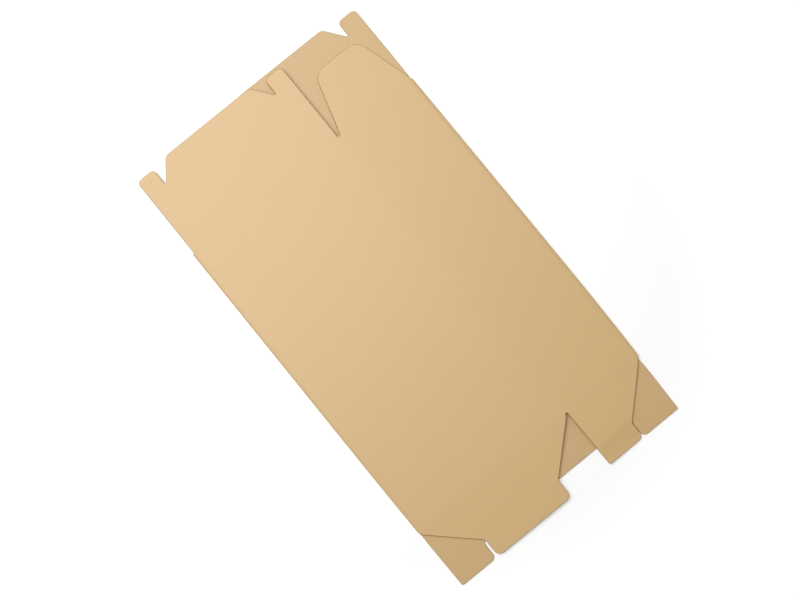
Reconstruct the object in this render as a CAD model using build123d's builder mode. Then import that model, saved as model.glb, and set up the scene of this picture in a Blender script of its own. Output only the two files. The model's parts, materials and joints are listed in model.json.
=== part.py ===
"""Snap-lock-bottom carton of thin board, glued into a tube and folded flat.

One die-cut sheet makes the box: side panel, front panel, side panel, back panel and a glue lap.
The lap is glued inside the back panel, so the sheet is a tube, and the tube is folded flat at two
of its four creases. Seen from above, the front panel and one side panel lie on top, and the back
panel and the other side panel lie underneath with their inner faces up. Each wide panel has a
closing flap with a tongue at the top, each narrow panel a tapered dust flap. At the bottom, the
front panel has a tongue, the back panel a lock flap with a recess, and each side panel a flap with
one slanted side.

The four flaps of the upper layer are free to swing up, so each is a piece of its own. The flaps of
the lower layer lie under them and stay in one piece with the tube.

Millimetres. X runs across the flat box, +Y towards the closing flaps, +Z up. The origin is on the
ground, in the middle of the box's outline.
"""

import os
from math import atan2, cos, degrees, pi, radians, sin, tan

from build123d import *

# Board and panels, each panel measured from crease to crease
board = 1.5
wide_panel = 171.5
narrow_panel = 85.5
panel_height = 324.0

# Flat folding: the space left inside each sharp fold, and what keeps the layers apart
fold_gap = 0.8
lap_clearance = 0.35
rest_clearance = 0.35
crease_gap = 0.25
flap_inset = 1.0

# Pressed creases, a groove on the inner face
score_width = 1.6
score_depth = 0.4

# Glue lap and the seam where the back panel's cut edge meets it
lap_width = 18.0
lap_end_inset = 5.0
lap_taper = 15.0
lap_ramp = 3.0
seam_gap = 0.6

# Closing flaps of the wide panels: a tongue between two ears, the front one cut a little smaller
lid_depth = 87.4
front_lid_depth = 86.1
front_lid_inset = 1.7
lid_tip_width = 98.0
lid_root_width = 127.0
lid_corner_radius = 8.0
ear_depth = 83.5
ear_width = 19.75
ear_radius = 4.5
notch_depth = 19.4
notch_radius = 0.7

# Dust flaps of the narrow panels
dust_depth = 59.2
dust_taper = 16.3
dust_radius = 14.0

# Bottom flaps, all of one depth
tail_depth = 61.2
tail_start = 2.0

# Tongue flap of the front panel
tongue_width = 84.7
tongue_shoulder = 42.2
tongue_radius = 6.0
shoulder_radius = 6.0

# Lock flap of the back panel
lock_inset = 2.4
lock_taper = 1.5
recess_width = 85.4
recess_depth = 42.4
recess_offset = 1.3
recess_radius = 3.0
leg_radius = 5.0
cut_corner_radius = 1.0

# Side flaps of the narrow panels: one straight side, one slanted
side_flap_width = 40.8
side_shoulder = 44.2
side_taper = 0.8
side_radius = 5.0
side_corner_radius = 2.0
side_slope = 1.0

# Places across the box: the two sharp folds, the open crease on top, the glued seam underneath
flat_width = wide_panel + narrow_panel
fold_inner = fold_gap / 2
fold_outer = fold_inner + board
half_bend = pi / 2 * (fold_inner + board / 2)
left = half_bend - flat_width / 2
right = -left
ridge = wide_panel - flat_width / 2
seam = narrow_panel - flat_width / 2

# Places along the box: the creases at the top and at the bottom
overall_length = lid_depth + panel_height + tail_depth
top_crease = overall_length / 2 - lid_depth
bottom_crease = top_crease - panel_height
upward, downward = 1, -1

# The upper layer rides over the glue lap and so rises from the left fold to the open crease
ridge_gap = fold_gap + (board + lap_clearance - fold_gap) * (ridge - left) / (seam - left)
ridge_top = 2 * board + ridge_gap
fold_top = 2 * fold_outer
front_tilt = degrees(atan2(ridge_top - fold_top, ridge - left))
side_tilt = degrees(atan2(fold_top - ridge_top, right - ridge))


def side_gap(x):
    """Space under the upper side panel at a place across the box."""
    return fold_gap + (ridge_gap - fold_gap) * (right - x) / (right - ridge)


def front_gap(x):
    """Space under the front panel at a place across the box."""
    return fold_gap + (ridge_gap - fold_gap) * (x - left) / (ridge - left)


# Slopes of the upper layer's flaps, which sink until they nearly rest on the layer below
side_flap_end = side_flap_width - flat_width / 2
tongue_slope = degrees(atan2(front_gap(side_flap_end) - rest_clearance, tongue_shoulder))
dust_base = narrow_panel / 2 - flap_inset
dust_tip = dust_base - dust_depth * tan(radians(dust_taper))
side_middle = ridge + narrow_panel / 2
dust_slope = degrees(atan2(side_gap(side_middle + dust_tip) - rest_clearance, dust_depth))

# The upper side flap bends over the edge of the recess until its tip nearly reaches the ground
tip_room = board + side_gap(ridge + side_flap_width) - rest_clearance
tip_fall = tip_room - tail_depth * tan(radians(side_slope))


def mirrored(half):
    """Corners of an outline from its right half."""
    return half + [(-x, y, radius) for x, y, radius in reversed(half)]


def closing_corners(start, depth, inset):
    """Closing flap: ears, slanted notches and the tongue between them."""
    side = wide_panel / 2 - inset
    notch_side = wide_panel / 2 - flap_inset - ear_width
    notch_floor = depth - notch_depth
    return mirrored(
        [
            (side, start, 0),
            (side, ear_depth, ear_radius),
            (notch_side, ear_depth, ear_radius),
            (notch_side, notch_floor, notch_radius),
            (lid_root_width / 2, notch_floor, notch_radius),
            (lid_tip_width / 2, depth, lid_corner_radius),
        ]
    )


def dust_corners(start):
    """Dust flap: tapered sides and large round corners."""
    return mirrored([(dust_base, start, 0), (dust_tip, dust_depth, dust_radius)])


def tongue_corners(start):
    """Bottom tongue flap: slanted shoulders down to a straight-sided tongue."""
    side = wide_panel / 2 - flap_inset
    return mirrored(
        [
            (side, start, 0),
            (side, tail_start, 0),
            (tongue_width / 2, tongue_shoulder, shoulder_radius),
            (tongue_width / 2, tail_depth, tongue_radius),
        ]
    )


def lock_corners(start):
    """Bottom lock flap: two legs beside a recess, which lies a little nearer to the glued seam."""
    side = wide_panel / 2 - lock_inset
    seam_side = recess_offset + recess_width / 2
    fold_side = recess_offset - recess_width / 2
    return [
        (side, start, 0),
        (side - lock_taper, tail_depth, cut_corner_radius),
        (seam_side, tail_depth, leg_radius),
        (seam_side, recess_depth, recess_radius),
        (fold_side, recess_depth, recess_radius),
        (fold_side, tail_depth, leg_radius),
        (lock_taper - side, tail_depth, cut_corner_radius),
        (-side, start, 0),
    ]


def side_corners(start):
    """Bottom side flap: straight beside the front panel, slanted beside the back panel."""
    side = narrow_panel / 2 - flap_inset
    short_side = narrow_panel / 2 - side_flap_width
    return [
        (side, start, 0),
        (side - side_taper, tail_depth, side_corner_radius),
        (short_side, tail_depth, side_radius),
        (short_side, side_shoulder, side_radius),
        (-side, tail_start, 0),
        (-side, start, 0),
    ]


class FlapOutline(BaseSketchObject):
    """Flat outline through corners given as (x, y, rounding radius), y measured from the crease."""

    def __init__(self, corners, mode=Mode.ADD):
        with BuildSketch() as flap:
            with BuildLine():
                FilletPolyline(
                    *[(x, y) for x, y, radius in corners],
                    radius=[radius for x, y, radius in corners],
                    close=True,
                )
            make_face()
        super().__init__(obj=flap.sketch, rotation=0, align=None, mode=mode)


def lower_plane(middle, crease, outward):
    """Ground plane at a crease of the lower layer, its Y pointing away from the panel."""
    return Plane((middle, crease, 0), x_dir=(outward, 0, 0), z_dir=(0, 0, 1))


def upper_plane(x, z, tilt, crease, outward, slope):
    """Outer face of an upper flap at its crease, its Y pointing away from the panel and sloping down."""
    across = Vector(cos(radians(tilt)), 0, sin(radians(tilt))) * outward
    panel_face = Vector(-sin(radians(tilt)), 0, cos(radians(tilt)))
    flap_face = panel_face * cos(radians(slope)) + Vector(0, outward, 0) * sin(radians(slope))
    return Plane((x, crease, z), x_dir=across, z_dir=flap_face)


# Middles of the panels, and the heights of the upper ones
front_middle = ridge - wide_panel / 2
back_middle = seam + wide_panel / 2
under_side_middle = seam - narrow_panel / 2
front_height = 2 * board + front_gap(front_middle)
side_height = 2 * board + side_gap(side_middle)

# The tube: four panels, the glue lap and the flaps of the lower layer
with BuildPart() as panel_tube:
    # Section of the folded sheet, from the seam round the left fold and on to the back panel's edge
    with BuildSketch(Plane.XZ.offset(-top_crease)):
        with BuildLine():
            Line((seam, 0), (left, 0))
            ThreePointArc((left, 0), (left - fold_outer, fold_outer), (left, fold_top))
            Polyline((left, fold_top), (ridge, ridge_top), (right, fold_top))
            ThreePointArc((right, fold_top), (right + fold_outer, fold_outer), (right, 0))
            Polyline((right, 0), (seam + seam_gap, 0), (seam + seam_gap, board), (right, board))
            ThreePointArc(
                (right, board), (right + fold_inner, board + fold_inner), (right, board + fold_gap)
            )
            Polyline(
                (right, board + fold_gap),
                (ridge + score_width / 2, board + side_gap(ridge + score_width / 2)),
                (ridge, board + ridge_gap + score_depth),
                (ridge - score_width / 2, board + front_gap(ridge - score_width / 2)),
                (left, board + fold_gap),
            )
            ThreePointArc(
                (left, board + fold_gap), (left - fold_inner, board + fold_inner), (left, board)
            )
            Polyline((left, board), (seam, board), (seam, 0))
        make_face()
    extrude(amount=panel_height)

    # Glue lap, which steps up from the side panel onto the back panel's inner face
    lap_tip_inset = lap_end_inset + lap_width * tan(radians(lap_taper))
    with BuildSketch(Plane.XY.offset(board)):
        with BuildLine():
            Polyline(
                (seam - lap_ramp, bottom_crease + lap_end_inset),
                (seam, bottom_crease + lap_end_inset),
                (seam + lap_width, bottom_crease + lap_tip_inset),
                (seam + lap_width, top_crease - lap_tip_inset),
                (seam, top_crease - lap_end_inset),
                (seam - lap_ramp, top_crease - lap_end_inset),
                close=True,
            )
        make_face()
    extrude(amount=board)
    with BuildSketch(Plane.XZ.offset(-top_crease)):
        with BuildLine():
            Polyline(
                (seam - lap_ramp, board),
                (seam, 2 * board),
                (seam - lap_ramp, 2 * board),
                close=True,
            )
        make_face()
    extrude(amount=panel_height, mode=Mode.SUBTRACT)

    # Flaps of the lower layer
    with BuildSketch(lower_plane(back_middle, top_crease, upward)):
        FlapOutline(closing_corners(0, lid_depth, flap_inset))
    extrude(amount=board)
    with BuildSketch(lower_plane(under_side_middle, top_crease, upward)):
        FlapOutline(dust_corners(0))
    extrude(amount=board)
    with BuildSketch(lower_plane(back_middle, bottom_crease, downward)):
        FlapOutline(lock_corners(0))
    extrude(amount=board)
    with BuildSketch(lower_plane(under_side_middle, bottom_crease, downward)):
        FlapOutline(side_corners(0))
    extrude(amount=board)

    # Pressed creases of those flaps
    with BuildSketch(Plane.YZ.offset(left)):
        for crease in (top_crease, bottom_crease):
            with BuildLine():
                Polyline(
                    (crease - score_width / 2, board + fold_inner),
                    (crease - score_width / 2, board),
                    (crease, board - score_depth),
                    (crease + score_width / 2, board),
                    (crease + score_width / 2, board + fold_inner),
                    close=True,
                )
            make_face()
    extrude(amount=right - left, mode=Mode.SUBTRACT)

# Closing flap of the front panel
with BuildPart() as closing_flap:
    with BuildSketch(upper_plane(front_middle, front_height, front_tilt, top_crease, upward, 0)):
        FlapOutline(closing_corners(crease_gap, front_lid_depth, front_lid_inset))
    extrude(amount=-board)

# Dust flap of the upper side panel
with BuildPart() as dust_flap:
    with BuildSketch(
        upper_plane(side_middle, side_height, side_tilt, top_crease, upward, dust_slope)
    ):
        FlapOutline(dust_corners(crease_gap))
    extrude(amount=-board)

# Tongue flap of the front panel
with BuildPart() as bottom_tongue_flap:
    with BuildSketch(
        upper_plane(front_middle, front_height, front_tilt, bottom_crease, downward, tongue_slope)
    ):
        FlapOutline(tongue_corners(crease_gap))
    extrude(amount=-board)

# Side flap of the upper side panel, its tip bent down into the recess of the lock flap
with BuildPart() as bottom_side_flap:
    face = upper_plane(side_middle, side_height, side_tilt, bottom_crease, downward, side_slope)
    with BuildSketch(Plane(face.origin, x_dir=face.y_dir, z_dir=face.x_dir)):
        with BuildLine():
            Polyline(
                (crease_gap, 0),
                (recess_depth, 0),
                (tail_depth, -tip_fall),
                (tail_depth, -tip_fall - board),
                (recess_depth, -board),
                (crease_gap, -board),
                close=True,
            )
        make_face()
    extrude(amount=narrow_panel, both=True)
    with BuildSketch(face):
        FlapOutline(side_corners(crease_gap))
    extrude(amount=tail_depth, both=True, mode=Mode.INTERSECT)

os.makedirs("parts", exist_ok=True)
for name, piece in (
    ("panel_tube", panel_tube),
    ("closing_flap", closing_flap),
    ("dust_flap", dust_flap),
    ("bottom_tongue_flap", bottom_tongue_flap),
    ("bottom_side_flap", bottom_side_flap),
):
    piece.part.label = name
    export_step(piece.part, f"parts/{name}.step")
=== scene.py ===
"""Dresses the flat-folded carton: one blank of kraft board, glued into a tube and folded flat.

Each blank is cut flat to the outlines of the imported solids. A Geometry Nodes tree then folds it along
the line that the board follows through the box, gives the board its thickness, presses its creases and
rounds its cut edges. The tube and the flaps of the lower layer are one blank. Each flap of the upper
layer is a blank of its own, which bends at its crease. Metres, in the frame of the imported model:
+Y runs towards the closing flaps, +Z up.
"""

import json
import math
from typing import NamedTuple

import bmesh
import bpy
import numpy as np
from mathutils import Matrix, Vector
from mathutils.geometry import delaunay_2d_cdt


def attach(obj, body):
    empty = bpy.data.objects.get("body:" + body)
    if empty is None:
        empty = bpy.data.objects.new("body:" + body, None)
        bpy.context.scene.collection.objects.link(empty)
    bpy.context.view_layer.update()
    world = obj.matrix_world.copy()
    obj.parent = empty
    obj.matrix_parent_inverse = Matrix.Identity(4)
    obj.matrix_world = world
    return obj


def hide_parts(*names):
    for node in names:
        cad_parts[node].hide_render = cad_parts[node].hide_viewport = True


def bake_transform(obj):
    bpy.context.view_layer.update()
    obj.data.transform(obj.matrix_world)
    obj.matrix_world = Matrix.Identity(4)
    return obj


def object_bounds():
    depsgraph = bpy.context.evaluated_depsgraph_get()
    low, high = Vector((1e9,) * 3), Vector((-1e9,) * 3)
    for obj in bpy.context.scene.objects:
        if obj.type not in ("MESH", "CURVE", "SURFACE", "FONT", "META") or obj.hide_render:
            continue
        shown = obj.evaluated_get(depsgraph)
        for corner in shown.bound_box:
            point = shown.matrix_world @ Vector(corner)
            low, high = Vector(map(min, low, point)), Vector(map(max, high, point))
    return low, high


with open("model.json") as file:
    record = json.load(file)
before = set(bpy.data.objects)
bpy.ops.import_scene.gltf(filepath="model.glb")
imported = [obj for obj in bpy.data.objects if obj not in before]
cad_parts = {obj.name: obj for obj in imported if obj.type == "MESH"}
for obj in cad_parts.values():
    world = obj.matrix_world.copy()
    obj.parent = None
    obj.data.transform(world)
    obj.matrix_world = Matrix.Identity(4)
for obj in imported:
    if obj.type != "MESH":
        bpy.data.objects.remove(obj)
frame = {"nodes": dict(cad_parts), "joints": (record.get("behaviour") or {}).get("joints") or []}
cad_low, cad_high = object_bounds()
hinges = {joint["child"]: joint for joint in frame["joints"]}

# The board and how it is folded
board = 0.0015
fold_gap = 0.0008
seam_gap = 0.0006
lap_width = 0.018
lap_ramp = 0.003
lap_end_inset = 0.005
lap_taper = math.radians(15)
ridge_round = 0.01
score_width = 0.0016
score_depth = 0.0004
score_row_shares = np.array([-1, -0.5, 0, 0.5, 1])
soft_bend = 0.003
tip_bend = 0.0412
tip_ease = 1.5

# Rounding of the flaps' cut edges, and its rings: how far in and how far sunk, as shares of it
cut_round = 0.00045
round_shares = ((0.3, 0.286), (1, 0))

# Slow bow of the upper layer, which is not held flat between its folds
bow_height = 0.0003
bow_size = 0.14

# How far the left and right folds draw in at each end, where the crossing creases pinch them
bottom_pinch = (0.0005, 0.0013)
top_pinch = (0, 0.0004)
pinch_length = 0.1
pinch_fade = 0.02
pinch_width = 0.012

# Fineness of the meshes
lattice_step = 0.009
fold_steps = 10
crest_steps = 8
score_steps = 8
bend_steps = 6
least_step = 0.0002
rim_clear = 0.0014
fold_margin = 0.0025
weld = 0.000001
sharp_angle = math.radians(20)
top_tilt = math.radians(20)

# Colours of the board and how uneven its paper is
outer_colour = (0.64, 0.426, 0.186)
inner_colour = (0.595, 0.392, 0.172)
# Cut edge: the board's own edge colour, made darker still as painted shadow along the flaps' edges
edge_and_shadow_colour = (0.38, 0.215, 0.075)
# Rim: the liners seen on the cut edge and the rounded rims of the faces, a dark warm brown that is partly
# painted shadow
rim_and_shadow_colour = (0.46, 0.275, 0.095)
fleck_colour = (0.33, 0.20, 0.085)
dark_share = 0.6
paper_gloss = 0.7
edge_gloss = 0.1
fibres_per_metre = 1400.0
fibre_crossing = math.radians(24)
fibre_slimness = 0.22
fibre_layers = 4.0
fibre_raggedness = 0.62
fibre_tone = 0.06
fleck_coarseness = 0.28
fleck_slimness = 0.28
fleck_radius = 0.28
fleck_share = 0.04
fleck_strength = 0.2
cloud_size = 0.03
cloud_layers = 5.0
cloud_raggedness = 0.55
cloud_tone = 0.05
crease_tone = 0.05
liner_share = 0.16

# The camera, which looks almost straight down with the box turned in the picture
camera_place = (-0.03978, -0.04559, 1.10912)
camera_tilt = (math.radians(2.2674), math.radians(-1.6152))
camera_roll = math.radians(-39.079)
camera_lens = 54.99
sensor_width = 36.0

# The studio
key_place = (-0.2, 0.6, 1.45)
key_size = 1.5
key_watts = 22.5
ambient_level = 0.25
floor_size = 12.0
floor_drop = 0.0002
floor_colour = 0.95
near_glow = 0.18
far_glow = 0.34
horizon_glow = 0.5
near_reach = 0.24
far_reach = 0.36
horizon_reach = 2.5


class OuterFace(NamedTuple):
    """Outer face of an upper panel: a point on it across the box, its height there and its rise."""

    x: float
    z: float
    rise: float

    def height(self, x):
        return self.z + self.rise * (x - self.x)


def outer_face(flap):
    """The panel face that carries a flap, from the flap's hinge."""
    x, _, z = hinges[flap]["pos_m"]
    across = hinges[flap]["axis"]
    return OuterFace(x, z, across[2] / across[0])


# Places that the frame gives: the creases, the sharp folds, the open ridge and the glued seam
front_face = outer_face("closing_flap")
side_face = outer_face("dust_flap")
top_crease = hinges["closing_flap"]["pos_m"][1]
bottom_crease = hinges["bottom_tongue_flap"]["pos_m"][1]
ridge = (front_face.height(0) - side_face.height(0)) / (side_face.rise - front_face.rise)
seam = -ridge
fold_outer = fold_gap / 2 + board
left = cad_low.x + fold_outer
right = cad_high.x - fold_outer


def fold_line():
    """Middle of the board's thickness through the folded tube, lap tip first, as rows of x and z."""
    radius = fold_gap / 2 + board / 2
    turn = np.linspace(-math.pi / 2, math.pi / 2, fold_steps + 1)
    left_fold = np.column_stack([left - radius * np.cos(turn), fold_outer + radius * np.sin(turn)])
    right_fold = np.column_stack([right + radius * np.cos(turn), fold_outer - radius * np.sin(turn)])
    start, end = ridge - ridge_round, ridge + ridge_round
    tops = [
        (start, front_face.height(start)),
        (ridge, front_face.height(ridge)),
        (end, side_face.height(end)),
    ]
    share = np.linspace(0, 1, crest_steps + 1)[:, None]
    crest = np.hstack([(1 - share) ** 2, 2 * share * (1 - share), share**2]) @ tops - (0, board / 2)
    lap_tip = (seam + lap_width, board / 2)
    back_edge = (seam + seam_gap, board / 2)
    return np.array([lap_tip, *left_fold, *crest, *right_fold, back_edge])


line = fold_line()
places = np.concatenate([[0], np.cumsum(np.linalg.norm(np.diff(line, axis=0), axis=1))])
left_fold_places = places[1 : 2 + fold_steps]
crest_places = places[2 + fold_steps : 3 + fold_steps + crest_steps]
right_fold_places = places[3 + fold_steps + crest_steps : -1]
left_start, left_end = left_fold_places[[0, -1]]
ridge_place = crest_places[crest_steps // 2]
right_start, right_end = right_fold_places[[0, -1]]
sheet_end = places[-1]
fold_middles = np.array([(left_start + left_end) / 2, ridge_place, (right_start + right_end) / 2])


class Panel(NamedTuple):
    """One panel of the strip: its sharp fold, its run along X and where it lies along the strip."""

    fold_x: float
    fold_place: float
    run: int
    start: float
    end: float

    def place(self, x):
        return self.fold_place + self.run * (x - self.fold_x)


lower_side = Panel(left, left_start, -1, 0, left_start)
front = Panel(left, left_end, 1, left_end, ridge_place)
side = Panel(right, right_start, 1, ridge_place, right_start)
back = Panel(right, right_end, -1, right_end, sheet_end)
panels = (lower_side, front, side, back)


def smooth_step(share):
    """Share from 0 to 1 that eases in and out."""
    share = np.clip(share, 0, 1)
    return share * share * (3 - 2 * share)


def beyond_crease(y):
    """How far a point lies out from the panels on a flap, or 0 on a panel."""
    return np.maximum(0, np.maximum(y - top_crease, bottom_crease - y))


def face_outlines(node_name, is_chosen):
    """Closed outlines of the chosen faces of a CAD node, each an array of points."""
    shape = bmesh.new()
    shape.from_mesh(frame["nodes"][node_name].data)
    bmesh.ops.remove_doubles(shape, verts=shape.verts, dist=weld)
    others = [face for face in shape.faces if not is_chosen(face)]
    bmesh.ops.delete(shape, geom=others, context="FACES")
    rim_loops = [edge.link_loops[0] for edge in shape.edges if edge.is_boundary]
    following = {loop.vert: loop.link_loop_next.vert for loop in rim_loops}
    outlines = []
    while following:
        vert = next(iter(following))
        outline = []
        while vert in following:
            outline.append(vert.co.copy())
            vert = following.pop(vert)
        outlines.append(np.array(outline))
    shape.free()
    return outlines


def divided(outline, columns, rows):
    """Outline with a point wherever it crosses a column or a row of the lattice."""
    points = []
    for start, end in zip(outline, np.roll(outline, -1, axis=0)):
        span = end - start
        length = np.linalg.norm(span)
        shares = []
        for lines, axis in ((columns, 0), (rows, 1)):
            if abs(span[axis]) > weld:
                shares.extend((lines - start[axis]) / span[axis])
        points.append(start)
        last = 0
        for share in sorted(shares):
            if (share - last) * length > least_step and (1 - share) * length > least_step:
                points.append(start + share * span)
                last = share
    return np.array(points)


def spread(*stops):
    """Evenly spaced lines between stops, no further apart than the lattice step."""
    lines = []
    for low, high in zip(stops, stops[1:]):
        count = math.ceil((high - low) / lattice_step)
        lines.extend(np.linspace(low, high, count, endpoint=False))
    return np.array([*lines, stops[-1]])


strip_columns = spread(
    0,
    lap_width,
    lap_width + lap_ramp,
    *left_fold_places,
    left_end + fold_margin,
    *sorted([*crest_places, ridge_place - score_width / 2, ridge_place + score_width / 2]),
    right_start - fold_margin,
    *right_fold_places,
    sheet_end,
)


def steps_along(rim):
    """Step from each point of a closed outline to the next."""
    return np.roll(rim, -1, axis=0) - rim


def inset(rim, depth):
    """Closed outline moved inwards by a depth."""
    x, y = rim.T
    across, along = steps_along(rim).T
    inwards = np.column_stack([-along, across]) / np.hypot(across, along)[:, None]
    inwards *= np.sign((x * along - y * across).sum())
    corners = inwards + np.roll(inwards, 1, axis=0)
    return rim + 2 * depth * corners / (corners**2).sum(axis=1)[:, None]


def add_rings(points, sunk, rims, is_cut):
    """Adds the rings of points that round the cut edges, and returns the edges along the rings."""
    edges = []
    start = 0
    for rim in rims:
        cut_after = is_cut[start : start + len(rim)]
        (rounded,) = np.nonzero(cut_after & np.roll(cut_after, 1))
        following = {place: (place + 1) % len(rim) for place in rounded}
        for place in rounded:
            sunk[start + place] = cut_round
        for inset_share, sunk_share in round_shares:
            number = {place: len(points) + count for count, place in enumerate(rounded)}
            points.extend(inset(rim, inset_share * cut_round)[rounded])
            sunk.extend([sunk_share * cut_round] * len(rounded))
            edges.extend((number[i], number[j]) for i, j in following.items() if j in number)
        start += len(rim)
    return edges


def gaps_to(point, starts, spans):
    """Distances from a point to straight stretches, each given by its start and its span."""
    shares = np.clip(((point - starts) * spans).sum(axis=1) / (spans**2).sum(axis=1), 0, 1)
    return np.linalg.norm(starts + shares[:, None] * spans - point, axis=1)


class Blank(NamedTuple):
    """Flat sheet: its points, its triangles and how far the rounded edge sinks at each point."""

    points: np.ndarray
    triangles: list
    sunk: np.ndarray


def cut_blank(outlines, columns, rows):
    """Blank inside the outlines, with corners on the lattice and rings along its flaps' cut edges."""
    rims = [divided(outline, columns, rows) for outline in outlines]
    starts = np.cumsum([0, *map(len, rims)])
    faces = [list(range(start, end)) for start, end in zip(starts, starts[1:])]
    rim_points = np.concatenate(rims)
    spans = np.concatenate([steps_along(rim) for rim in rims])
    is_cut = beyond_crease(rim_points[:, 1] + spans[:, 1] / 2) > weld
    points = list(rim_points)
    sunk = [0.0] * len(points)
    edges = add_rings(points, sunk, rims, is_cut)
    least_gaps = np.where(is_cut, rim_clear, least_step / 2)
    for along in rows:
        for across in columns:
            if (gaps_to((across, along), rim_points, spans) > least_gaps).all():
                points.append((across, along))
    sunk.extend([0.0] * (len(points) - len(sunk)))
    inside_outlines = 1
    corners, _, triangles, sources, *_ = delaunay_2d_cdt(
        [Vector(point) for point in points], edges, faces, inside_outlines, weld
    )
    used = sorted({corner for triangle in triangles for corner in triangle})
    index = {corner: place for place, corner in enumerate(used)}
    return Blank(
        np.array([corners[corner] for corner in used]),
        [[index[corner] for corner in triangle] for triangle in triangles],
        np.array([max((sunk[source] for source in sources[corner]), default=0.0) for corner in used]),
    )


def drawn_in(place, y):
    """Shift along X of the sharp folds towards the middle of the box, near the creases."""
    near_left, _, near_right = np.exp(-(((place - fold_middles[:, None]) / pinch_width) ** 2))
    reach = np.where(beyond_crease(y) > 0, pinch_fade, pinch_length)
    shift = np.zeros(len(y))
    for crease, (left_pinch, right_pinch) in ((bottom_crease, bottom_pinch), (top_crease, top_pinch)):
        along = np.maximum(0, 1 - np.abs(y - crease) / reach) ** 2
        shift += along * (left_pinch * near_left - right_pinch * near_right)
    return shift


def new_object(name, data):
    """Object of some data, in the scene."""
    made = bpy.data.objects.new(name, data)
    bpy.context.scene.collection.objects.link(made)
    return made


def blank_object(name, blank, fall, flat_share):
    """Flat blank that carries what the folding needs to know at each point."""
    place, y = blank.points.T
    owner = np.searchsorted(fold_middles, place)
    runs, starts, ends = np.array([(panel.run, panel.start, panel.end) for panel in panels])[owner].T
    overhang = (place - np.clip(place, starts, ends)) * flat_share
    upper_share = np.clip((place - left_end) / (right_start - left_end), 0, 1)
    to_fold = np.abs(place[:, None] - fold_middles).min(axis=1) + beyond_crease(y)
    to_crease = np.minimum(np.abs(y - top_crease), np.abs(y - bottom_crease))
    below = (place < left_start) | (place > right_end)
    to_score = np.where(below, to_crease, np.abs(place - ridge_place) + beyond_crease(y))
    mesh = bpy.data.meshes.new(name)
    mesh.from_pydata([(u, v, 0) for u, v in blank.points], [], blank.triangles)
    for attribute, values in (
        ("place", place - overhang),
        ("sideways", overhang * runs + drawn_in(place, y)),
        ("fall", fall),
        ("bow", bow_height * np.sin(math.pi * upper_share)),
        ("groove", score_depth * np.maximum(0, 1 - 2 * to_score / score_width)),
        ("sunk", blank.sunk * smooth_step(beyond_crease(y) / score_width)),
        ("crease", np.exp(-((np.minimum(to_fold, to_crease) / score_width) ** 2))),
    ):
        carried = mesh.attributes.new(attribute, "FLOAT", "POINT")
        carried.data.foreach_set("value", values.astype(np.float32))
    return new_object(name, mesh)


def node(tree, kind, inputs=None, **settings):
    """New node with its settings, its inputs set to values or joined to other nodes' outputs."""
    made = tree.nodes.new(kind)
    for name, value in settings.items():
        setattr(made, name, value)
    for name, value in (inputs or {}).items():
        if isinstance(value, bpy.types.NodeSocket):
            tree.links.new(value, made.inputs[name])
        else:
            made.inputs[name].default_value = value
    return made


def calculate(tree, operation, *values):
    """Result of a sum on values, each a socket or a number."""
    return node(tree, "ShaderNodeMath", dict(enumerate(values)), operation=operation).outputs[0]


def mix_colours(tree, factor, first, second):
    """Colour mixed from two, each a socket or a value, by the sockets that the node keeps for colours."""
    inputs = {0: factor, 6: first, 7: second}
    return node(tree, "ShaderNodeMix", inputs, data_type="RGBA").outputs[2]


def new_group(name, kind, inputs, outputs):
    """Empty node group with its named sockets, and its input and output nodes."""
    group = bpy.data.node_groups.new(name, kind)
    for direction, sockets in (("INPUT", inputs), ("OUTPUT", outputs)):
        for socket_name, socket_type in sockets.items():
            group.interface.new_socket(socket_name, in_out=direction, socket_type=socket_type)
    return group, group.nodes.new("NodeGroupInput"), group.nodes.new("NodeGroupOutput")


def told(tree, name, kind="FLOAT"):
    """What each point carries under a name."""
    made = node(tree, "GeometryNodeInputNamedAttribute", {"Name": name}, data_type=kind)
    return made.outputs["Attribute"]


def stored(tree, geometry, name, value, kind, domain="POINT", chosen=True):
    """Geometry whose chosen points or corners carry a value under a name."""
    inputs = {"Geometry": geometry, "Selection": chosen, "Name": name, "Value": value}
    made = node(tree, "GeometryNodeStoreNamedAttribute", inputs, data_type=kind, domain=domain)
    return made.outputs["Geometry"]


def moved(tree, geometry, **where):
    """Geometry moved to a Position or by an Offset."""
    return node(tree, "GeometryNodeSetPosition", {"Geometry": geometry, **where}).outputs["Geometry"]


def scaled(tree, vector, scale):
    """Vector made longer or shorter by a scale."""
    return node(tree, "ShaderNodeVectorMath", {0: vector, "Scale": scale}, operation="SCALE").outputs[0]


def folded_sheet(tree, given):
    """Middle of the board, folded along the fold line, which keeps its flat place for the paper."""
    flat = node(tree, "GeometryNodeInputPosition").outputs[0]
    sheet = stored(tree, given.outputs["Blank"], "sheet", flat, "FLOAT2", domain="CORNER")
    guide = node(tree, "GeometryNodeObjectInfo", {"Object": given.outputs["Fold Line"]})
    on_line = node(
        tree,
        "GeometryNodeSampleCurve",
        {"Curves": guide.outputs["Geometry"], "Length": told(tree, "place")},
        mode="LENGTH",
        use_all_curves=True,
    )
    line_parts = node(tree, "ShaderNodeSeparateXYZ", {0: on_line.outputs["Position"]})
    flat_parts = node(tree, "ShaderNodeSeparateXYZ", {0: flat})
    bow_scale = calculate(tree, "DIVIDE", 1.0, given.outputs["Bow Size"])
    wave = node(tree, "ShaderNodeTexNoise", {"Vector": flat, "Scale": bow_scale, "Detail": 0.0})
    lift = calculate(tree, "MULTIPLY", wave.outputs["Fac"], told(tree, "bow"))
    lifted = calculate(tree, "ADD", line_parts.outputs["Z"], lift)
    folded_place = node(
        tree,
        "ShaderNodeCombineXYZ",
        {
            "X": calculate(tree, "ADD", line_parts.outputs["X"], told(tree, "sideways")),
            "Y": flat_parts.outputs["Y"],
            "Z": calculate(tree, "SUBTRACT", lifted, told(tree, "fall")),
        },
    )
    return moved(tree, sheet, Position=folded_place.outputs[0])


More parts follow.
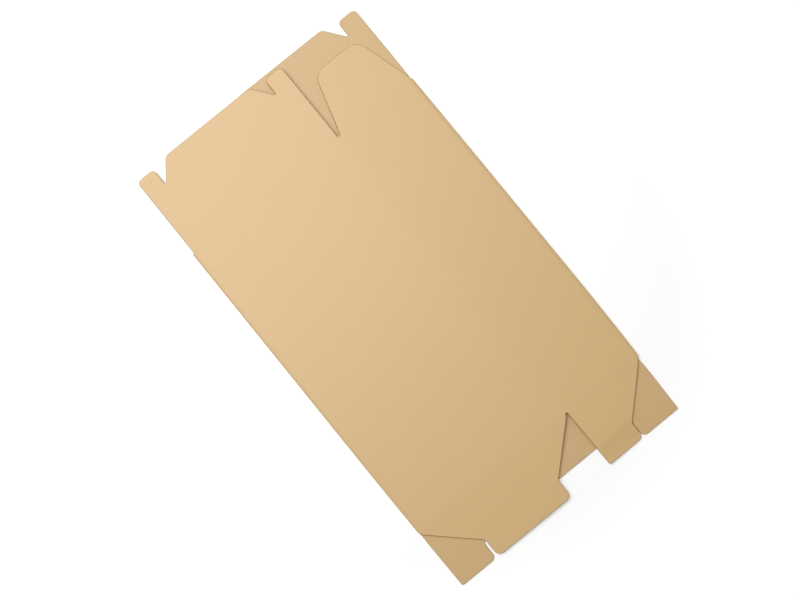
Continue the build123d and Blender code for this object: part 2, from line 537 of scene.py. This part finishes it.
def pressed_and_rounded(tree, thick_board):
    """Board with its creases pressed in from the inner face and its cut edges rounded on both faces."""
    ply = told(tree, "ply")
    on_inner = calculate(tree, "SUBTRACT", 1.0, ply)
    pressed = calculate(tree, "MULTIPLY", told(tree, "groove"), on_inner)
    towards_middle = calculate(tree, "SUBTRACT", on_inner, ply)
    depth = calculate(tree, "MULTIPLY_ADD", told(tree, "sunk"), towards_middle, pressed)
    outward = told(tree, "outward", "FLOAT_VECTOR")
    return moved(tree, thick_board, Offset=scaled(tree, outward, depth))


def folding_tree():
    """Geometry Nodes tree that folds a flat blank along the fold line and thickens it into board."""
    inputs = {
        "Blank": "NodeSocketGeometry",
        "Fold Line": "NodeSocketObject",
        "Board": "NodeSocketFloat",
        "Bow Size": "NodeSocketFloat",
        "Outer Face": "NodeSocketMaterial",
        "Inner Face": "NodeSocketMaterial",
        "Cut Edge": "NodeSocketMaterial",
    }
    outputs = {"Board": "NodeSocketGeometry"}
    tree, given, result = new_group("fold_board", "GeometryNodeTree", inputs, outputs)
    normal = node(tree, "GeometryNodeInputNormal").outputs[0]
    middle = stored(tree, folded_sheet(tree, given), "outward", normal, "FLOAT_VECTOR")
    half_inward = calculate(tree, "MULTIPLY", given.outputs["Board"], -0.5)
    inner = moved(tree, middle, Offset=scaled(tree, normal, half_inward))
    turned = node(tree, "GeometryNodeFlipFaces", {"Mesh": inner})
    thick = node(
        tree,
        "GeometryNodeExtrudeMesh",
        {
            "Mesh": inner,
            "Offset": normal,
            "Offset Scale": given.outputs["Board"],
            "Individual": False,
        },
        mode="FACES",
    )
    plied = stored(tree, thick.outputs["Mesh"], "ply", 1.0, "FLOAT", chosen=thick.outputs["Top"])
    whole = node(tree, "GeometryNodeJoinGeometry", {"Geometry": turned.outputs[0]})
    tree.links.new(plied, whole.inputs[0])
    closed = node(tree, "GeometryNodeMergeByDistance", {"Geometry": whole.outputs[0], "Distance": weld})
    rounded = pressed_and_rounded(tree, closed.outputs[0])
    # The rounded rims of both faces take the darker cut edge finish: a painted shadow line along each cut
    # edge
    rim_with_painted_shadow = calculate(tree, "GREATER_THAN", told(tree, "sunk"), weld)
    dressed = node(tree, "GeometryNodeRealizeInstances", {"Geometry": rounded})
    for face, chosen in (
        ("Inner Face", True),
        ("Outer Face", thick.outputs["Top"]),
        ("Cut Edge", calculate(tree, "MAXIMUM", thick.outputs["Side"], rim_with_painted_shadow)),
    ):
        dressed = node(
            tree,
            "GeometryNodeSetMaterial",
            {"Geometry": dressed.outputs[0], "Selection": chosen, "Material": given.outputs[face]},
        )
    tree.links.new(dressed.outputs[0], result.inputs["Board"])
    return tree


def fold_guide():
    """Curve object of the fold line, which the folding tree follows."""
    curve = bpy.data.curves.new("fold_line", "CURVE")
    curve.dimensions = "3D"
    spline = curve.splines.new("POLY")
    spline.points.add(len(line) - 1)
    for point, (x, z) in zip(spline.points, line):
        point.co = (x, 0, z, 1)
    return new_object("fold_line", curve)


def fold(piece, tree, guide, finishes):
    """Turns a flat blank into its folded board, a plain mesh."""
    modifier = piece.modifiers.new("fold", "NODES")
    modifier.node_group = tree
    values = {
        "Fold Line": guide,
        "Board": board,
        "Bow Size": bow_size,
        "Outer Face": finishes["outer"],
        "Inner Face": finishes["inner"],
        "Cut Edge": finishes["edge"],
    }
    for item in tree.interface.items_tree:
        if item.name in values and item.in_out == "INPUT":
            modifier[item.identifier] = values[item.name]
    graph = bpy.context.evaluated_depsgraph_get()
    mesh = bpy.data.meshes.new_from_object(
        piece.evaluated_get(graph), preserve_all_data_layers=True, depsgraph=graph
    )
    piece.modifiers.clear()
    mesh.shade_smooth()
    mesh.set_sharp_from_angle(angle=sharp_angle)
    piece.data = mesh
    return piece


def lap_rise(points):
    """Height that the glue lap gains over the back panel's board, along the strip."""
    place, y = points.T
    climb = smooth_step((lap_width + lap_ramp - place) / lap_ramp)
    from_end = np.minimum(top_crease - y, y - bottom_crease)
    return board * climb * smooth_step(from_end / lap_end_inset)


def score_rows(crease):
    """Lines along a crease that its pressed groove and its bend need."""
    return crease + score_width * score_row_shares


def onto_strip_lines(found):
    """Places along the strip, moved onto a line where two outlines meet if they nearly lie on it."""
    lines = np.array([lap_width, left_start, right_end, sheet_end])
    nearest = lines[np.abs(found[:, None] - lines).argmin(axis=1)]
    return np.where(np.abs(found - nearest) < least_step, nearest, found)


def tube_blank():
    """Panels, glue lap and the four flaps of the lower layer."""
    lower_outlines = face_outlines(
        "panel_tube",
        lambda face: face.normal.z < 0 and max(vert.co.z for vert in face.verts) < weld,
    )
    outlines = []
    for outline in lower_outlines:
        x, y, _ = outline.T
        panel = lower_side if x.mean() < seam else back
        outlines.append(np.column_stack([onto_strip_lines(panel.place(x)), y]))
    strip = [
        (left_start, bottom_crease),
        (right_end, bottom_crease),
        (right_end, top_crease),
        (left_start, top_crease),
    ]
    lap_tip_inset = lap_end_inset + lap_width * math.tan(lap_taper)
    lap = [
        (lap_width, bottom_crease + lap_end_inset),
        (lap_width, top_crease - lap_end_inset),
        (0, top_crease - lap_tip_inset),
        (0, bottom_crease + lap_tip_inset),
    ]
    outlines += [np.array(strip), np.array(lap)]
    rows = spread(
        cad_low.y,
        *score_rows(bottom_crease),
        bottom_crease + lap_end_inset,
        top_crease - lap_end_inset,
        *score_rows(top_crease),
        cad_high.y,
    )
    blank = cut_blank(outlines, strip_columns, rows)
    flat_share = smooth_step(beyond_crease(blank.points[:, 1]) / score_width)
    return blank_object("panel_tube_board", blank, -lap_rise(blank.points), flat_share)


def flap_blank(flap, panel, carrier):
    """Flap of the upper layer, from its crease out, which falls as its solid does."""
    crease = hinges[flap]["pos_m"][1]
    outward = math.copysign(1, crease)
    (outline,) = face_outlines(flap, lambda face: face.normal.z > math.cos(top_tilt))
    x, y, z = outline.T
    reach = (y - crease) * outward
    drop = carrier.height(x) - z
    order = np.argsort(reach)
    plan = np.column_stack([panel.place(x), y])
    plan[reach < score_width / 2, 1] = crease
    softening = soft_bend * np.linspace(-0.5, 0.5, bend_steps + 1)
    score = np.linspace(0, score_width, score_steps + 1)
    bend = tip_bend + softening
    tip = np.linspace(bend[-1], reach.max(), bend_steps + 1)[1:]
    rows = crease + outward * spread(*score, *bend, *tip)
    on_panel = (strip_columns >= panel.start) & (strip_columns <= panel.end)
    blank = cut_blank([plan], strip_columns[on_panel], rows)
    distance = beyond_crease(blank.points[:, 1])
    slope = np.interp(tip_bend, reach[order], drop[order]) / tip_bend
    tip_fall = drop.max() - slope * reach.max()
    past_bend = np.clip((distance[:, None] + softening - tip_bend) / (reach.max() - tip_bend), 0, 1)
    sunk_tip = tip_fall * (1 - (1 - past_bend) ** tip_ease).mean(axis=1)
    fall = slope * distance * smooth_step(distance / soft_bend) + sunk_tip
    return blank_object(f"{flap}_board", blank, fall, flat_share=1)


def fibre_group():
    """Paper fibres: fine streaks that cross at a small angle, and sparse dark flecks."""
    inputs = {
        "Sheet": "NodeSocketVector",
        "Fineness": "NodeSocketFloat",
        "Fleck Share": "NodeSocketFloat",
    }
    outputs = {"Fibre": "NodeSocketFloat", "Fleck": "NodeSocketFloat"}
    tree, given, result = new_group("paper_fibre", "ShaderNodeTree", inputs, outputs)
    streaks = []
    for turn in (-fibre_crossing, fibre_crossing):
        laid = node(
            tree,
            "ShaderNodeMapping",
            {
                "Vector": given.outputs["Sheet"],
                "Rotation": (0, 0, turn),
                "Scale": (1, fibre_slimness, 1),
            },
        )
        streak = node(
            tree,
            "ShaderNodeTexNoise",
            {
                "Vector": laid.outputs[0],
                "Scale": given.outputs["Fineness"],
                "Detail": fibre_layers,
                "Roughness": fibre_raggedness,
            },
        )
        streaks.append(streak.outputs["Fac"])
    both = calculate(tree, "MULTIPLY", calculate(tree, "ADD", *streaks), 1 / len(streaks))
    tree.links.new(both, result.inputs["Fibre"])
    drawn_out = (fleck_coarseness, fleck_coarseness * fleck_slimness, 1)
    drawn = node(tree, "ShaderNodeMapping", {"Vector": given.outputs["Sheet"], "Scale": drawn_out})
    spots = node(
        tree,
        "ShaderNodeTexVoronoi",
        {"Vector": drawn.outputs[0], "Scale": given.outputs["Fineness"]},
    )
    chance = node(tree, "ShaderNodeSeparateColor", {0: spots.outputs["Color"]}).outputs[0]
    rare = calculate(tree, "LESS_THAN", chance, given.outputs["Fleck Share"])
    near = node(
        tree,
        "ShaderNodeMapRange",
        {"Value": spots.outputs["Distance"], "From Max": fleck_radius, "To Min": 1.0, "To Max": 0.0},
    )
    fleck = calculate(tree, "MULTIPLY", rare, near.outputs[0])
    tree.links.new(fleck, result.inputs["Fleck"])
    return tree


def cloud_group():
    """Uneven formation of the paper: large soft clouds with smaller ones in them."""
    inputs = {"Sheet": "NodeSocketVector", "Cloud Size": "NodeSocketFloat"}
    outputs = {"Cloud": "NodeSocketFloat"}
    tree, given, result = new_group("paper_clouds", "ShaderNodeTree", inputs, outputs)
    soft = node(
        tree,
        "ShaderNodeTexNoise",
        {
            "Vector": given.outputs["Sheet"],
            "Scale": calculate(tree, "DIVIDE", 1.0, given.outputs["Cloud Size"]),
            "Detail": cloud_layers,
            "Roughness": cloud_raggedness,
        },
    )
    tree.links.new(soft.outputs["Fac"], result.inputs["Cloud"])
    return tree


def shade(colour, factor):
    """Colour made darker or lighter by a factor, opaque."""
    return (*[factor * value for value in colour], 1)


class Paper(NamedTuple):
    """One face of the board: colour, gloss, roughness, height of its fibres, place in the pattern."""

    colour: tuple
    gloss: float
    roughness: float
    relief: float
    patch: float


outer_paper = Paper(outer_colour, paper_gloss, roughness=0.42, relief=0.00003, patch=0.0)
inner_paper = Paper(inner_colour, paper_gloss, roughness=0.45, relief=0.000036, patch=0.4)
# The cut edge's paper is partly its own colour and partly painted shadow, darker than a clean cut edge
cut_edge_and_shadow = Paper(edge_and_shadow_colour, edge_gloss, roughness=0.7, relief=0.00006, patch=0.8)


def kraft_finish(name, paper, groups):
    """Uncoated kraft paper: fibres, flecks and clouds, a little darker along the creases."""
    material = bpy.data.materials.new(name)
    material.use_nodes = True
    tree = material.node_tree
    shader = tree.nodes["Principled BSDF"]
    shader.inputs["Specular IOR Level"].default_value = paper.gloss
    sheet = node(tree, "ShaderNodeUVMap", uv_map="sheet").outputs[0]
    own_patch = {0: sheet, 1: (0, 0, paper.patch)}
    patch = node(tree, "ShaderNodeVectorMath", own_patch, operation="ADD").outputs[0]
    fibre = node(tree, "ShaderNodeGroup", node_tree=groups["fibre"])
    cloud = node(tree, "ShaderNodeGroup", node_tree=groups["cloud"])
    for effect in (fibre, cloud):
        tree.links.new(patch, effect.inputs["Sheet"])
    fibre.inputs["Fineness"].default_value = fibres_per_metre
    fibre.inputs["Fleck Share"].default_value = fleck_share
    cloud.inputs["Cloud Size"].default_value = cloud_size
    streak = fibre.outputs["Fibre"]
    crease = node(tree, "ShaderNodeAttribute", attribute_name="crease").outputs["Fac"]
    dull = shade(paper.colour, 1 - fibre_tone)
    bright = shade(paper.colour, 1 + fibre_tone)
    dark = shade(paper.colour, dark_share)
    colour = mix_colours(tree, streak, dull, bright)
    for mark, strength, tint in (
        (cloud.outputs["Cloud"], cloud_tone, dark),
        (fibre.outputs["Fleck"], fleck_strength, shade(fleck_colour, 1)),
        (crease, crease_tone, dark),
    ):
        colour = mix_colours(tree, calculate(tree, "MULTIPLY", mark, strength), colour, tint)
    tree.links.new(colour, shader.inputs["Base Color"])
    rough = calculate(tree, "ADD", calculate(tree, "MULTIPLY", streak, fibre_tone), paper.roughness)
    tree.links.new(rough, shader.inputs["Roughness"])
    bump = node(tree, "ShaderNodeBump", {"Distance": paper.relief, "Height": streak})
    tree.links.new(bump.outputs[0], shader.inputs["Normal"])
    return material


def show_plies_and_shadow(material):
    """Pales the two papers that face the board where the cut edge shows them, in a dark warm brown that
    is also painted shadow along the edges.
    """
    tree = material.node_tree
    base = tree.nodes["Principled BSDF"].inputs["Base Color"]
    ply = node(tree, "ShaderNodeAttribute", attribute_name="ply").outputs["Fac"]
    middle = 0.5
    from_middle = calculate(tree, "ABSOLUTE", calculate(tree, "SUBTRACT", ply, middle))
    facing = node(
        tree,
        "ShaderNodeMapRange",
        {"Value": from_middle, "From Min": middle - 2 * liner_share, "From Max": middle - liner_share},
        interpolation_type="SMOOTHSTEP",
    )
    colour = mix_colours(tree, facing.outputs[0], base.links[0].from_socket, shade(rim_and_shadow_colour, 1))
    tree.links.new(colour, base)


def build_box():
    """Folds the blanks, dresses them and lets the tube ride on its body."""
    groups = {"fibre": fibre_group(), "cloud": cloud_group()}
    finishes = {
        "outer": kraft_finish("kraft_outer_face", outer_paper, groups),
        "inner": kraft_finish("kraft_inner_face", inner_paper, groups),
        "edge": kraft_finish("kraft_cut_edge", cut_edge_and_shadow, groups),
    }
    show_plies_and_shadow(finishes["edge"])
    tree = folding_tree()
    guide = fold_guide()
    tube = fold(tube_blank(), tree, guide, finishes)
    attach(tube, "tube")
    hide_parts("panel_tube")
    for flap, panel, carrier in (
        ("closing_flap", front, front_face),
        ("dust_flap", side, side_face),
        ("bottom_tongue_flap", front, front_face),
        ("bottom_side_flap", side, side_face),
    ):
        piece = fold(flap_blank(flap, panel, carrier), tree, guide, finishes)
        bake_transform(piece)
        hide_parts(flap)
    bpy.data.objects.remove(guide)


def white_for_the_camera(tree):
    """1 for rays that see the background or mirror it, 0 for rays that light the box."""
    path = node(tree, "ShaderNodeLightPath")
    seen = calculate(tree, "ADD", path.outputs["Is Camera Ray"], path.outputs["Is Glossy Ray"])
    seen_through = calculate(tree, "ADD", seen, path.outputs["Is Transmission Ray"])
    return calculate(tree, "MINIMUM", seen_through, 1.0)


def floor_finish():
    """Pale floor that keeps the box's shadow and pales to white towards the horizon."""
    material = bpy.data.materials.new("pale_floor")
    material.use_nodes = True
    tree = material.node_tree
    shader = tree.nodes["Principled BSDF"]
    shader.inputs["Base Color"].default_value = (floor_colour, floor_colour, floor_colour, 1)
    shader.inputs["Specular IOR Level"].default_value = 0
    shader.inputs["Emission Color"].default_value = (1, 1, 1, 1)
    floor_point = node(tree, "ShaderNodeTexCoord").outputs["Object"]
    length = node(tree, "ShaderNodeVectorMath", {0: floor_point}, operation="LENGTH")
    from_middle = length.outputs["Value"]
    rings = [
        node(
            tree,
            "ShaderNodeMapRange",
            {"Value": from_middle, "From Min": inner, "From Max": outer, "To Min": low, "To Max": high},
        ).outputs[0]
        for inner, outer, low, high in (
            (near_reach, far_reach, near_glow, far_glow),
            (far_reach, horizon_reach, 0, horizon_glow),
        )
    ]
    glow = calculate(tree, "ADD", *rings)
    seen_glow = calculate(tree, "MULTIPLY", white_for_the_camera(tree), glow)
    tree.links.new(seen_glow, shader.inputs["Emission Strength"])
    return material


def lay_floor():
    """Floor a hair below the box, so that the two share no plane."""
    half = floor_size / 2
    corners = [(-half, -half), (half, -half), (half, half), (-half, half)]
    mesh = bpy.data.meshes.new("floor")
    mesh.from_pydata([(x, y, -floor_drop) for x, y in corners], [], [(0, 1, 2, 3)])
    mesh.materials.append(floor_finish())
    floor = new_object("floor", mesh)


def light_all_round():
    """White background, and even light from all sides at the ambient level."""
    world = bpy.data.worlds.new("studio")
    bpy.context.scene.world = world
    world.use_nodes = True
    tree = world.node_tree
    background = tree.nodes["Background"]
    background.inputs["Color"].default_value = (1, 1, 1, 1)
    seen = white_for_the_camera(tree)
    lit = calculate(tree, "MULTIPLY", calculate(tree, "SUBTRACT", 1.0, seen), ambient_level)
    tree.links.new(calculate(tree, "ADD", seen, lit), background.inputs["Strength"])


def hang_softbox():
    """Round soft light over the closing flaps' end, aimed at the box."""
    lamp = bpy.data.lights.new("softbox", "AREA")
    lamp.shape = "DISK"
    lamp.size = key_size
    lamp.energy = key_watts
    softbox = new_object("softbox", lamp)
    softbox.location = key_place
    softbox.rotation_euler = Vector(key_place).to_track_quat("Z", "Y").to_euler()


def place_camera():
    """Camera at the photograph's viewing angle, and colours shown as they are written."""
    view = bpy.data.cameras.new("camera")
    view.lens = camera_lens
    view.sensor_width = sensor_width
    camera = new_object("camera", view)
    camera.location = camera_place
    camera.rotation_mode = "ZYX"
    camera.rotation_euler = (*camera_tilt, camera_roll)
    bpy.context.scene.camera = camera
    bpy.context.scene.view_settings.view_transform = "Standard"


build_box()
lay_floor()
light_all_round()
hang_softbox()
place_camera()
